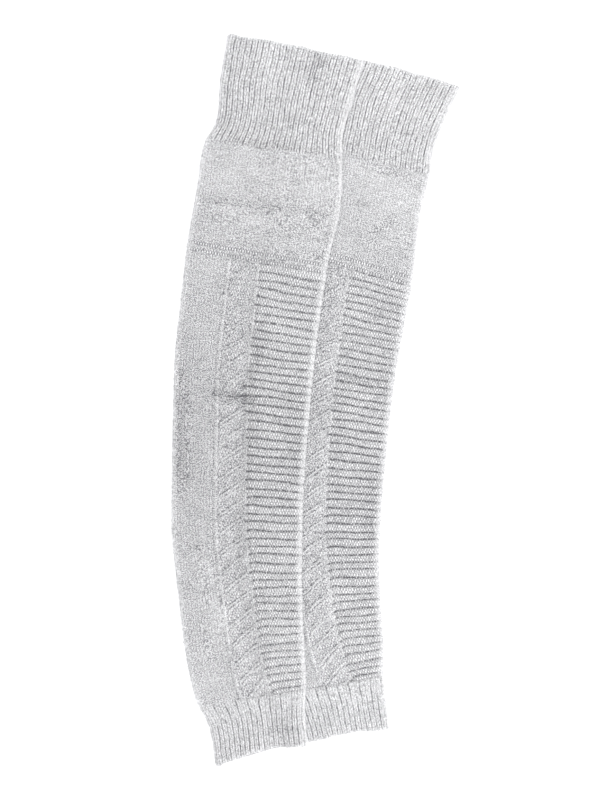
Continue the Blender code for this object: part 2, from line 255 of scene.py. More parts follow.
class Socket:
    """An output of a node tree that can be used in a Python expression."""

    def __init__(self, tree, output):
        self.tree = tree
        self.output = output

    def other(self, key):
        """Another output of the same node."""
        return Socket(self.tree, self.output.node.outputs[key])

    def math(self, operation, *others):
        return self.tree.add("ShaderNodeMath", {"operation": operation}, dict(enumerate([self, *others])))

    def __add__(self, other):
        return self.math("ADD", other)

    def __sub__(self, other):
        return self.math("SUBTRACT", other)

    def __rsub__(self, other):
        return (self * -1).math("ADD", other)

    def __mul__(self, other):
        return self.math("MULTIPLY", other)

    def __truediv__(self, other):
        return self.math("DIVIDE", other)

    def __pow__(self, other):
        return self.math("POWER", other)

    __radd__ = __add__
    __rmul__ = __mul__

    def fraction(self):
        return self.math("FRACT")

    def size(self):
        return self.math("ABSOLUTE")

    def wave(self):
        """0 at each whole number and 1 half-way between two."""
        return 0.5 - (self * (2 * math.pi)).math("COSINE") * 0.5

    def slopes(self):
        """1 at each whole number and 0 half-way between two, with straight slopes."""
        return (self.fraction() * 2 - 1).size()

    def ease(self, start, end):
        """A smooth rise from 0 at the start to 1 at the end."""
        return self.tree.add("ShaderNodeMapRange", {"interpolation_type": "SMOOTHSTEP"},
                             {"Value": self, "From Min": start, "From Max": end})

    def hump(self, middle, half):
        """1 at the middle and 0 beyond the half width on both sides."""
        return 1 - (self - middle).size().ease(0, half)


class Tree:
    """A node tree that is filled by expressions."""

    def __init__(self, tree):
        self.tree = tree

    def add(self, kind, settings, values, output=0):
        """A new node's output. Its settings come first, and then its sockets get their values or links."""
        node = self.tree.nodes.new(kind)
        for name, value in settings.items():
            setattr(node, name, value)
        for key, value in values.items():
            if isinstance(value, Socket):
                self.tree.links.new(value.output, node.inputs[key])
            else:
                node.inputs[key].default_value = value
        return Socket(self, node.outputs[output]) if node.outputs else None

    def vector(self, x=0.0, y=0.0, z=0.0):
        return self.add("ShaderNodeCombineXYZ", {}, {"X": x, "Y": y, "Z": z})

    def parts(self, vector):
        """The x, y and z of a vector."""
        x = self.add("ShaderNodeSeparateXYZ", {}, {0: vector})
        return x, x.other(1), x.other(2)

    def attribute(self, name, kind="FLOAT"):
        return self.add("GeometryNodeInputNamedAttribute", {"data_type": kind}, {"Name": name})

    def sized(self, names):
        """Group inputs: the geometry, and then a size for each name."""
        interface = self.tree.interface
        interface.new_socket("Geometry", in_out="INPUT", socket_type="NodeSocketGeometry")
        for name in names:
            interface.new_socket(name, in_out="INPUT", socket_type="NodeSocketFloat")
        interface.new_socket("Geometry", in_out="OUTPUT", socket_type="NodeSocketGeometry")
        geometry = self.add("NodeGroupInput", {}, {})
        return [geometry, *(geometry.other(name) for name in names)]

    def finish(self, geometry):
        self.add("NodeGroupOutput", {}, {0: geometry})


def grown(obj, tree, sizes):
    """Put a node tree on an object with the values of its inputs, and keep the plain mesh that comes out."""
    modifier = obj.modifiers.new(tree.name, "NODES")
    modifier.node_group = tree
    for item in tree.interface.items_tree:
        if item.in_out == "INPUT" and item.name in sizes:
            modifier[item.identifier] = sizes[item.name]
    evaluated = obj.evaluated_get(bpy.context.evaluated_depsgraph_get())
    mesh = bpy.data.meshes.new_from_object(evaluated)
    obj.modifiers.remove(modifier)
    old, obj.data = obj.data, mesh
    name = old.name
    bpy.data.meshes.remove(old)
    mesh.name = name


def smoothstep(value):
    value = np.clip(value, 0.0, 1.0)
    return value * value * (3 - 2 * value)


class Course:
    """The way a stocking lies, as smooth curves through its sections."""

    def __init__(self, side):
        self.names = [name for name, _, _ in SECTIONS]
        self.values = np.array([left if side == "left" else right for _, left, right in SECTIONS], float)
        self.values[:, :2] -= PLAN_MIDDLE
        steps = np.hypot(*np.diff(self.values[:, :2], axis=0).T)
        self.stations = np.concatenate([[0.0], np.cumsum(steps)])
        self.slopes = np.gradient(self.values, self.stations, axis=0)
        self.length = self.stations[-1]

    def station(self, name):
        return self.stations[self.names.index(name)]

    def at(self, stations):
        i = np.clip(np.searchsorted(self.stations, stations) - 1, 0, len(self.stations) - 2)
        span = (self.stations[i + 1] - self.stations[i])[:, None]
        t = (stations - self.stations[i])[:, None] / span
        values = (
            (2 * t**3 - 3 * t**2 + 1) * self.values[i]
            + (t**3 - 2 * t**2 + t) * self.slopes[i] * span
            + (3 * t**2 - 2 * t**3) * self.values[i + 1]
            + (t**3 - t**2) * self.slopes[i + 1] * span
        ).T
        values[3] = np.radians(values[3])
        return values


class Rows:
    """The stations that a group of lines shares, with what the course says there."""

    def __init__(self, stocking, stations):
        self.stations = np.asarray(stations, float)
        self.x, self.y, self.width, self.tilt, self.bow = stocking.course.at(self.stations)
        self.left = np.full_like(self.width, FOLD_RADIUS)
        self.right = self.width - FOLD_RADIUS - FOLD_INSET
        self.ring = 2 * (self.right - self.left) + 2 * math.pi * FOLD_RADIUS
        self.step = stocking.step(self)

    def place(self, from_left):
        """Where the points at these distances from the left side lie on the ground."""
        across = from_left - self.width / 2
        rise = self.bow * (1 - (2 * across / self.width) ** 2)
        cos, sin = np.cos(self.tilt), np.sin(self.tilt)
        return self.x + across * cos - rise * sin, self.y + across * sin + rise * cos

    def around(self, centre, angle):
        """How far round the tube a line lies, from the left side over the upper layer."""
        if angle == 90:
            return centre + 0.0 * self.x
        if angle > -90:
            return self.right + FOLD_RADIUS * math.radians(90 - angle)
        if angle == -90:
            return self.right + FOLD_RADIUS * math.pi + (self.right - centre)
        return self.ring - FOLD_RADIUS * math.radians(angle + 270) + FOLD_RADIUS


class Stocking:
    """One stocking's course, its creases and the step that it climbs where it lies over another one."""

    def __init__(self, side, creases, lies_over=None):
        self.side = side
        self.course = Course(side)
        self.creases = creases
        self.edge = None
        if lies_over:
            rows = Rows(lies_over, np.arange(0.0, lies_over.course.length, 6.0))
            x, y = rows.place(0.0)
            self.edge = y[::-1], x[::-1]

    def past_edge(self, x, y):
        """How far right of the lower stocking's left side a point lies."""
        return x - np.interp(y, *self.edge)

    def lift(self, x, y):
        """The rise of a point, in a slope that is longer on the thigh."""
        ramp = RAMP * (1 + 1.2 * smoothstep((y - 20.0) / 100.0))
        return RISE * smoothstep(1 + self.past_edge(x, y) / ramp) if self.edge else np.zeros_like(x)

    def step(self, rows):
        """How far from the left side each row passes over the lower stocking's side."""
        from_left = 0.6 * rows.width
        for _ in range(6 if self.edge else 0):
            from_left = from_left - self.past_edge(*rows.place(from_left))
        return from_left

    def crease(self, stations, from_left):
        """The height that the creases add."""
        total = 0.0
        for station, middle, slant, length, width, height in self.creases:
            along, across = stations - station, from_left - middle
            cos, sin = math.cos(math.radians(slant)), math.sin(math.radians(slant))
            run, off = across * cos - along * sin, across * sin + along * cos
            profile = np.exp(-((off / width) ** 2))
            total = total + height * profile * smoothstep(1.4 * (1 - np.abs(run) / length))
        return total


RIGHT = Stocking("right", RIGHT_CREASES)
LEFT = Stocking("left", LEFT_CREASES, lies_over=RIGHT)


class Line:
    """A line of a skin along the stocking: its points, and what the trees and the material read there."""

    def __init__(self, stocking, rows, centre, angle, radius, share=0.0, show=0.0, wales=None, rim=0.0,
                 push=0.0):
        cos, sin = math.cos(math.radians(angle)), math.sin(math.radians(angle))
        radius = np.broadcast_to(radius, rows.stations.shape)
        x, y = rows.place(centre + radius * cos)
        z = FOLD_RADIUS + radius * sin + stocking.lift(x, y)
        # The dip is how deep the creases sink; the relief trees paint shade in its troughs and light where it
        # rises
        self.dip = 0.0 * x
        if np.any(show) and sin > 0.5:
            crease = stocking.crease(rows.stations, centre) * sin
            z, self.dip = z + crease, -crease
        x, y = x - push * np.sin(rows.tilt), y + push * np.cos(rows.tilt)
        self.points = np.stack([x, y, z], axis=1)
        self.out = np.stack([cos * np.cos(rows.tilt), cos * np.sin(rows.tilt), np.full_like(x, sin)], axis=1)
        self.rows, self.along = rows, rows.stations
        self.around = rows.around(centre, angle)
        self.show, self.share, rim = (np.broadcast_to(value, x.shape) for value in (show, share, rim))
        self.wales = self.around if wales is None else np.broadcast_to(wales, x.shape)
        self.wales_ring = rows.ring
        # The rim marks the folds and the open edges, where the material paints a highlight and more loose
        # fibres grow
        near_right = smoothstep((self.around - rows.right + 4.0) / 5.5) * (angle > -60)
        near_left = smoothstep((rows.left + 1.5 - centre) / 3.0) * (angle > -90) + 1.0 * (angle < -150)
        outer = radius[0] > FOLD_RADIUS / 2
        self.rim = np.maximum(np.clip(near_right + near_left, 0.0, 1.0) * outer, rim)
        # How thick the nap of loose fibres grows, most at the folds and open edges
        left, right = FIBRES_AT_SIDES[stocking.side]
        self.nap_and_painted_highlight = (0.2 + 2.5 * rim + left * near_left + right * near_right) * (outer and sin > -0.75)


def zipped(first, second, one, other):
    """Faces between two lines that have their own stations."""
    faces = []
    i = j = 0
    while i < len(first) - 1 or j < len(second) - 1:
        ahead = first[i + 1] if i < len(first) - 1 else math.inf
        across = second[j + 1] if j < len(second) - 1 else math.inf
        if ahead < across:
            faces.append((one + i, one + i + 1, other + j))
            i += 1
        else:
            faces.append((one + i, other + j + 1, other + j))
            j += 1
    return faces


def skin(lines, start):
    """The faces of a ring of lines whose points are numbered from start, and which of them close the ring."""
    firsts = start + np.concatenate([[0], np.cumsum([len(line.along) for line in lines])])
    faces, closing = [], []
    for k, line in enumerate(lines):
        after = lines[(k + 1) % len(lines)]
        one, other = int(firsts[k]), int(firsts[(k + 1) % len(lines)])
        if line.rows is after.rows:
            i = np.arange(len(line.along) - 1)
            made = np.stack([one + i, one + i + 1, other + i + 1, other + i], axis=1).tolist()
        else:
            made = zipped(line.along, after.along, one, other)
        faces += made
        closing += [k == len(lines) - 1] * len(made)
    return faces, closing, firsts


def rim_faces(skins, end):
    """The faces of the rim that joins two skins at one end, and which of them close the ring."""
    orders, points = [], []
    for lines, firsts in skins:
        ring = [int(firsts[k] if end == 0 else firsts[k + 1] - 1) for k in range(len(lines))]
        orders.append([line.order for line in lines] + [2.0])
        points.append([*ring, ring[0]])
    made = zipped(*orders, 0, len(points[0]))
    places, both = np.array(orders[0] + orders[1]), points[0] + points[1]
    faces = [[both[corner] for corner in (face[::-1] if end == 0 else face)] for face in made]
    return faces, [2.0 in places[list(face)] for face in made]


def map_stitches(mesh, lines, faces, closing):
    """Lay the stitches' map on a tube: how far round it each corner is, and its station."""
    corners = np.zeros(len(mesh.loops), int)
    mesh.loops.foreach_get("vertex_index", corners)
    wales, ring, along = (np.concatenate([getattr(line, key) for line in lines])[corners]
                          for key in ("wales", "wales_ring", "along"))
    late = np.repeat(closing, [len(face) for face in faces]) & (wales < ring / 4)
    knit = mesh.uv_layers.new(name="Knit")
    knit.data.foreach_set("uv", np.stack([wales + np.where(late, ring, 0.0), along], axis=1).ravel())


def tube(name, outer, inner, material):
    """A closed shell: the outer ring of lines, the plain ring inside it and the rims between them."""
    faces, closing, outer_firsts = skin(outer, 0)
    inner_faces, inner_closing, inner_firsts = skin(inner, int(outer_firsts[-1]))
    faces += [face[::-1] for face in inner_faces]
    closing += inner_closing
    for end in (0, -1):
        made, last = rim_faces(((outer, outer_firsts), (inner, inner_firsts)), end)
        faces += made
        closing += last
    lines = outer + inner
    points = np.concatenate([line.points for line in lines]) * MM
    mesh = bpy.data.meshes.new(name)
    mesh.from_pydata(points.tolist(), [], faces)
    for key in ("around", "share", "show", "rim", "nap_and_painted_highlight", "dip", "along"):
        values = np.concatenate([getattr(line, key) for line in lines])
        mesh.attributes.new(key, "FLOAT", "POINT").data.foreach_set("value", values)
    out = np.concatenate([line.out for line in lines])
    mesh.attributes.new("out", "FLOAT_VECTOR", "POINT").data.foreach_set("vector", out.ravel())
    map_stitches(mesh, lines, faces, closing)
    mesh.shade_smooth()
    mesh.set_sharp_from_angle(angle=math.radians(60))
    mesh.materials.append(material)
    piece = bpy.data.objects.new(name, mesh)
    bpy.context.scene.collection.objects.link(piece)
    return piece


def spaced(start, end, step):
    """Stations from start to end, about a step apart."""
    return np.linspace(start, end, max(2, round((end - start) / step) + 1))


def rim_drop(stations, edge):
    """How far the outer skin sinks towards the wall's middle at an open edge, so that the edge is round."""
    near = np.clip(1 - np.abs(stations - edge) / EDGE_ROUNDING, 0.0, 1.0)
    return 0.5 * WALL * (1 - np.sqrt(1 - near**2))


def plain_centres(rows, stocking):
    """Distances from the left side of the lines of a plain layer, from the left fold to the right one."""
    parts = np.linspace(0, 1, 7)[1:-1]
    if stocking.edge is None:
        return [rows.left, *[rows.left + part * (rows.right - rows.left) for part in parts], rows.right]
    ramp = [rows.step - part * RAMP for part in (1, 0.8, 0.6, 0.4, 0.2, 0)]
    near = [rows.left + part * (ramp[0] - rows.left) for part in parts[::2]]
    far = [ramp[-1] + part * (rows.right - ramp[-1]) for part in parts[::2]]
    return [rows.left, *near, *ramp, *far, rows.right]


def back(stocking, rows, radius):
    """The lines of the lower layer and of the left fold, from the right to the left."""
    lines = [Line(stocking, rows, centre, -90, radius) for centre in reversed(plain_centres(rows, stocking))]
    return lines + [Line(stocking, rows, rows.left, angle, radius) for angle in LEFT_FOLD]


def ordered(face, rest):
    """All lines of a ring, numbered for its rims: 0 to 1 over the upper layer, and on to 2 round the rest."""
    for line, order in zip(face + rest, [*np.linspace(0, 1, len(face)), *np.linspace(1.1, 1.9, len(rest))]):
        line.order = float(order)
    return face + rest


def lining(stocking, start, end):
    """The plain skin inside a tube."""
    rows = Rows(stocking, spaced(start, end, LINING_STEP))
    centres = plain_centres(rows, stocking)
    face = [Line(stocking, rows, centre, 90, INNER_RADIUS) for centre in centres]
    rest = [Line(stocking, rows, rows.right, 0, INNER_RADIUS)]
    rest += [Line(stocking, rows, centre, -90, INNER_RADIUS) for centre in reversed(centres)]
    rest.append(Line(stocking, rows, rows.left, -180, INNER_RADIUS))
    return ordered(face, rest)


# Angles of the lines round the two folds, in degrees up from the right
LEFT_FOLD = (-112.5, -135, -157.5, -180, -202.5, -225, -247.5)
RIGHT_FOLD = (67.5, 45, 22.5, 0, -22.5, -45, -67.5)


def turned(angle):
    """How much of the relief is left on a fold at this angle: none where the cloth faces the ground."""
    return float(smoothstep(1 + angle / 60.0)) * (0.75 + 0.25 * min(1.0, max(0.0, angle / 60.0)))


def cuff_mesh(name, stocking, start, end, ribs, open_edge, material):
    """A cuff before its ribs are raised. Its stitches are counted by its ribs, two to a rib."""
    rows = Rows(stocking, np.unique(np.concatenate([
        spaced(start, end, 1.2), [start + 0.25, start + 0.5, end - 0.5, end - 0.25]
    ])))
    radius = FOLD_RADIUS - rim_drop(rows.stations, open_edge)
    seam = start if open_edge == end else end
    # The open edge's rim, which the material paints as a highlight and where more loose fibres grow
    rim = smoothstep(1.15 - np.abs(rows.stations - open_edge) / 2.4)
    show = smoothstep(np.abs(rows.stations - seam) / 2.0) * (1 - 0.6 * (FOLD_RADIUS - radius) / (0.5 * WALL))
    turn = 2 * ribs * WALE
    near = smoothstep(1 - np.abs(rows.stations - open_edge) / 9.0) * (1 if open_edge == 0 else -1)

    def wavy(share):
        """How far the open edge stands out at this share of the width."""
        slow = 0.5 * math.sin(9.1 * share + ribs) + 0.4 * math.sin(23.0 * share + 1.7)
        return near * max(0.0, 0.8 + slow + 0.5 * (1 - abs(math.cos(math.pi * share * ribs)) ** 4))

    shares, flat = np.linspace(0, 1, ribs * LINES_A_RIB + 1), rows.right - rows.left
    places = [(share, rows.left + share * flat, 90) for share in shares]
    places += [(1 + math.radians(90 - angle) * FOLD_RADIUS / FACE_WIDTH, rows.right, angle)
               for angle in RIGHT_FOLD]
    face = []
    for share, centre, angle in places:
        shown, out = show * turned(angle), wavy(min(share, 1.0))
        face.append(Line(stocking, rows, centre, angle, radius, share, shown, share * turn, rim, out))
    rest = back(stocking, rows, radius)
    for line in rest:
        line.wales = turn * line.around / (line.rows.ring / 2)
    lines = ordered(face, rest)
    for line in lines:
        line.wales_ring = 2 * turn + 0.0 * line.rows.ring
    return tube(name, lines, lining(stocking, start, end), material)


def leg_mesh(name, stocking, material):
    """A leg before its relief is raised: plain above, and three panels side by side below the purl rows."""
    course = stocking.course
    start, end, purl = course.station("cuff seam"), course.station("ankle seam"), course.station("purl row")
    first = purl + PANELS_START
    above = [spaced(start, purl - 4, PLAIN_STEP)[:-1], spaced(purl - 4, first, PURL_STEP)[:-1]]
    ridges = np.linspace(first, end - RIDGES_END, RIDGE_COUNT * ROWS_A_RIDGE + 1)[:-1]
    rows = Rows(stocking, np.concatenate([*above, ridges, spaced(end - RIDGES_END, end, 0.6)]))
    broad = Rows(stocking, np.concatenate([*above, spaced(first, end, PLAIN_STEP)]))
    coarse = Rows(stocking, spaced(start, end, COARSE_STEP))
    face = [Line(stocking, broad, centre, 90, FOLD_RADIUS, show=1.0)
            for centre in [broad.left, *np.linspace(4.5, PLAIN_WIDTH - 2.2, 13)]]
    near = [
        *np.arange(PLAIN_WIDTH - 1.6, PLAIN_WIDTH + 2.0, 0.5),
        *np.arange(PLAIN_WIDTH + 2.6, RIDGES_START - 2.0, 0.9),
        *np.arange(RIDGES_START - 1.6, RIDGES_START + 1.8, 0.5),
    ]
    face += [Line(stocking, rows, centre, 90, FOLD_RADIUS, show=1.0) for centre in near]
    ridged = RIDGES_START + 2.2
    for share in np.linspace(0, 1, LINES_OVER_RIDGES):
        face.append(Line(stocking, rows, ridged + share * (rows.right - ridged), 90, FOLD_RADIUS, show=1.0))
    for angle in RIGHT_FOLD:
        face.append(Line(stocking, rows, rows.right, angle, FOLD_RADIUS, show=turned(angle)))
    rest = back(stocking, coarse, FOLD_RADIUS)
    return tube(name, ordered(face, rest), lining(stocking, start, end), material)


def purl_bumps(phase, wale):
    """Small bumps in a diamond lattice, three rows of them in each whole phase."""
    lean, other = wale * 1.1 + phase * 1.5, wale * 1.1 - phase * 1.5
    return 0.14 + (lean.wave() * other.wave()) ** 0.7 * 0.86


def uneven(tree, across, along):
    """Soft noise over the cloth, from 0 to 1, with one value about every whole number."""
    return tree.add("ShaderNodeTexNoise", {"noise_dimensions": "2D"},
                    {"Vector": tree.vector(across, along), "Scale": 1.0, "Detail": 2.0})


def raised(tree, geometry, height, purl, phase, shade):
    """The end of a relief tree: points move outwards, and keep for the material the share of purl stitches,
    the phase of their rows, and how much of the light is lost in a groove."""
    out = tree.attribute("out", "FLOAT_VECTOR")
    offset = tree.add("ShaderNodeVectorMath", {"operation": "SCALE"}, {0: out, "Scale": height})
    moved = tree.add("GeometryNodeSetPosition", {}, {"Geometry": geometry, "Offset": offset})
    for name, value in (("purl", purl), ("phase", phase), ("shade", shade)):
        moved = tree.add("GeometryNodeStoreNamedAttribute", {"data_type": "FLOAT", "domain": "POINT"},
                         {"Geometry": moved, "Name": name, "Value": value})
    tree.finish(moved)


def rib_tree():
    """Raises ribs along a cuff, each with its two columns of yarn. Down to the wide band's end, every second
    groove is shallow."""
    group = bpy.data.node_groups.new("Ribs", "GeometryNodeTree")
    tree = Tree(group)
    geometry, rib, count, wide_end, middle = tree.sized(["Rib", "Count", "Wide end", "Middle"])
    share, along, show = tree.attribute("share"), tree.attribute("along"), tree.attribute("show")
    ribs = share * count + (uneven(tree, share * 9, along * 0.05) - 0.5) * 0.5
    below = (along - wide_end).ease(-0.8, 0.8)
    columns = (ribs * 2).slopes().ease(0.4, 1.0) * (0.5 + below * 0.5)
    narrow = ribs.slopes().ease(0.66, 1.0) * (0.2 + below * 0.8)
    wide = (ribs * 0.5).slopes().ease(0.78, 1.0) * (1 - below)
    groove = narrow.math("MAXIMUM", wide)
    height = rib * (1 - groove * 0.8 - columns * 0.2) * show
    broken = 0.3 + uneven(tree, share * 60, along * 0.16).ease(0.3, 0.65) * 0.9
    # Painted shade in the grooves and between the two columns of each rib, broken by noise, painted shade and
    # light from the creases, and the whole cuff drawn paler
    shade = (groove * (1 - columns * middle) + columns * middle) * broken * show.ease(0.0, 0.5) * 1.25
    raised(tree, geometry, height, 0.0, 0.0, shade + tree.attribute("dip") * 0.22 - 0.2)
    return group


def panel_tree():
    """Raises the purl rows, the two edge wales, the rope strands and the cross ridges of a leg."""
    group = bpy.data.node_groups.new("Panels", "GeometryNodeTree")
    tree = Tree(group)
    geometry, ridge, rope, purl, edge_wale, first, pitch, station, rope_pitch, rope_drop, drawn = tree.sized([
        "Ridge", "Rope", "Purl", "Edge wale", "First", "Pitch", "Purl station", "Rope pitch", "Rope drop",
        "Drawn in",
    ])
    around, along = tree.attribute("around"), tree.attribute("along")
    past_plain, past_ropes, past_first = around - PLAIN_WIDTH, around - RIDGES_START, along - first
    below = past_first.ease(-0.3, 0.3)
    wale = around / WALE

    # The rows wander, and slant where the grooves are drawn into the rope panel
    drawn = along.hump(drawn, 16)
    short = (RIDGES_START - around).math("MAXIMUM", 0.0)
    knitted = along + (uneven(tree, around * 0.02, along * 0.055) - 0.5) * 5.0 - drawn * short * 0.22

    # The cross ridges
    hook = (1 - past_ropes.ease(-0.5, 5.0)) * past_first.ease(120, 320) * 1.8
    phase = (knitted - hook - first) / pitch
    groove = phase.slopes().ease(0.64, 0.98)
    ridges = (ridge * (1 - groove) * 0.7 + purl * purl_bumps(phase, wale)) * past_ropes.ease(0.2, 4.0)
    in_ridges = past_ropes.ease(0.6, 1.2)
    ragged = uneven(tree, 0.0, (phase + 0.5).math("FLOOR") * 1.7) * 7.0 - 3.0
    in_groove = (past_ropes + ragged + drawn * 9).ease(0.0, 1.5)

    # The rope strands over their purl ground
    into = past_plain / ROPE_WIDTH
    in_rope = into.ease(0.03, 0.07) * (1 - into.ease(0.93, 0.97))
    slant = ((knitted + rope_drop * into * (1.12 - into * 0.12)) / rope_pitch).fraction()
    taper = into.ease(0.05, 0.2) * (1 - into.ease(0.86, 0.97)) * (0.45 + past_first.ease(20, 90) * 0.55)
    strand = slant.hump(STRANDS[0], 0.10).math("MAXIMUM", slant.hump(STRANDS[1], 0.10)) * taper
    under = slant.hump(0.03, 0.08).math("MAXIMUM", slant.hump(0.26, 0.06) * 0.7) * taper
    ground_phase = along / (4 * COURSE)
    ropes = rope * strand + purl * 0.6 * purl_bumps(ground_phase, wale) * (1 - strand)

    # The edge wales and the purl rows
    edge = past_plain.hump(0, 1.3) + past_ropes.hump(0, 1.3) * 0.5
    beside = past_plain.size().hump(1.9, 0.8) + past_ropes.size().hump(1.9, 0.8) * 0.4
    past_purl = along - station
    row = past_purl - PURL_ROWS[0] - past_purl.ease(1.9, 2.1) * (PURL_ROWS[1] - PURL_ROWS[0])
    in_row = row.hump(0, 2.4).ease(0.0, 0.35)
    row_phase = 0.28 + row / 8
    rows = purl * (in_row * purl_bumps(row_phase, wale)) * 1.4
    height = (ridges + ropes * in_rope + edge_wale * edge) * below + rows

    # What the material reads: the kind of stitch and the phase of its rows
    kind = (in_ridges + in_rope * (1 - strand) * 0.65) * below + in_row * 1.7
    kept = ground_phase * in_rope.ease(0.0, 0.01) + phase * in_ridges.ease(0.0, 0.01)
    kept = row_phase * in_row.ease(0.0, 0.01) + kept * below.ease(0.0, 0.01)

    # The painted shade in the grooves, under the strands and beside the wales, and in the pinch of the left
    # leg, deeper in the middle of the leg and where the grooves end by the ropes
    broken = uneven(tree, around * 0.33, phase * 3.1).ease(0.25, 0.7)
    middle, low = along.hump(*DARKER_LEG), along.ease(*PALE_END)
    gathered = (along - past_ropes * 0.06).hump(*PINCH) * around.hump(RIDGES_START - 12, 36)
    gathered = gathered * drawn.ease(0.0, 0.3) * (0.25 + (around * 0.3 + along * 0.5).wave() * 0.75)
    ends = along.hump(*DARKER_GROOVE_ENDS) * around.hump(RIDGES_START + 7, 9)
    shade = (groove * in_groove * (1.0 + broken * 0.85) * (0.9 + middle * 0.25)
             + (under * (0.4 + broken * 0.5) + drawn * short.ease(0, 6) * 0.03 - middle * 0.06) * in_rope
             + beside * 0.22 + gathered * 0.45 + ends * 0.12) * below

    # Painted highlights along the raised edge wales and strands, and the top of the rope panel drawn darker
    painted_thread_highlights = past_plain.hump(0, 1.0) * 1.4 + past_ropes.hump(0, 1.0) * 1.2
    painted_thread_highlights += (slant.hump(STRANDS[0], 0.06) + slant.hump(STRANDS[1], 0.05) * 0.85) * taper * in_rope * 2.2
    shade += ((1 - past_first.ease(20, 110)) * in_rope * 0.07 - painted_thread_highlights * 0.34) * below

    # The tone of each panel: the wool's own tone in clouds and from panel to panel, the purl rows and the
    # ridges drawn paler, painted shade in the middle of the leg and in crease troughs, and painted light
    # towards the ankle end, on crease ridges and over the step beside the ridges
    cloudy = uneven(tree, around * 0.03, along * 0.025).ease(0.25, 0.75)
    flat = 0.01 + below * 0.1 + along.ease(*ABOVE_PANELS) * (1 - below) * 0.15
    flat += cloudy * (0.08 + below * 0.06)
    flat += middle * 0.12 - in_row * 0.26 - around.hump(RIDGES_START - 4, 6) * below * 0.1
    flat += (along.hump(*DARKER_ROPES) * 0.1 - low * 0.06) * in_rope
    pale = 0.24 - past_first.ease(0, 130) * 0.04 - middle * 0.04 + low * 0.05
    shade += (1 - in_ridges * below) * flat + tree.attribute("dip") * 0.22 - in_ridges * below * pale
    raised(tree, geometry, height * tree.attribute("show"), kind, kept, shade)
    return group


def random_between(tree, low, high, seed):
    return tree.add("FunctionNodeRandomValue", {"data_type": "FLOAT"}, {2: low, 3: high, "Seed": seed}, 1)


def fuzz_tree():
    """Scatters short bent fibres over a surface, most of them lying over to one side."""
    group = bpy.data.node_groups.new("Fuzz", "GeometryNodeTree")
    tree = Tree(group)
    geometry, length, width, density, seed = tree.sized(["Length", "Width", "Density", "Seed"])
    x, side, height = tree.parts(tree.add("GeometryNodeInputPosition", {}, {}))
    run = x + 0.5
    bent = tree.vector(run * run * length * 0.8, side * width * (1.15 - run) + run * run * run * length * 0.3,
                       run * (1.25 - run * 0.6) * length * 0.62)
    sizes = {"Size X": 1.0, "Size Y": 1.0, "Vertices X": 3, "Vertices Y": 2}
    fibre = tree.add("GeometryNodeMeshGrid", {}, sizes)
    fibre = tree.add("GeometryNodeSetPosition", {}, {"Geometry": fibre, "Position": bent})
    roots = tree.add("GeometryNodeDistributePointsOnFaces", {}, {
        "Mesh": geometry, "Density": density * tree.attribute("nap_and_painted_highlight"), "Seed": seed,
    }, "Points")
    placed = tree.add("GeometryNodeInstanceOnPoints", {}, {
        "Points": roots, "Instance": fibre, "Rotation": roots.other("Rotation"),
        "Scale": random_between(tree, 0.4, 1.4, 9),
    })
    turn = tree.vector(0.0, random_between(tree, -0.5, 1.2, 5), random_between(tree, -math.pi, math.pi, 3))
    placed = tree.add("GeometryNodeRotateInstances", {}, {"Instances": placed, "Rotation": turn})
    real = tree.add("GeometryNodeRealizeInstances", {}, {"Geometry": placed})
    above_ground = tree.vector(z=height.math("MAXIMUM", 0.0002) - height)
    real = tree.add("GeometryNodeSetPosition", {}, {"Geometry": real, "Offset": above_ground})
    real = tree.add("GeometryNodeSetMaterial", {}, {"Geometry": real, "Material": fibre_material()})
    tree.finish(real)
    return group


def empty_material(name):
    """A new material of that name and its emptied tree."""
    material = bpy.data.materials.new(name)
    material.use_nodes = True
    material.node_tree.nodes.clear()
    return material, Tree(material.node_tree)


def surface(tree, values):
    """The material's surface, with these values or links."""
    shader = tree.add("ShaderNodeBsdfPrincipled", {}, values)
    tree.add("ShaderNodeOutputMaterial", {}, {"Surface": shader})


def mixed(tree, factor, one, other):
    """Two colours mixed by a factor."""
    return tree.add("ShaderNodeMix", {"data_type": "RGBA"}, {0: factor, 6: one, 7: other}, 2)


def noise(tree, vector, scale, detail=2.0):
    return tree.add("ShaderNodeTexNoise", {}, {"Vector": vector, "Scale": scale, "Detail": detail})


def colour(value):
    return (*value, 1.0)


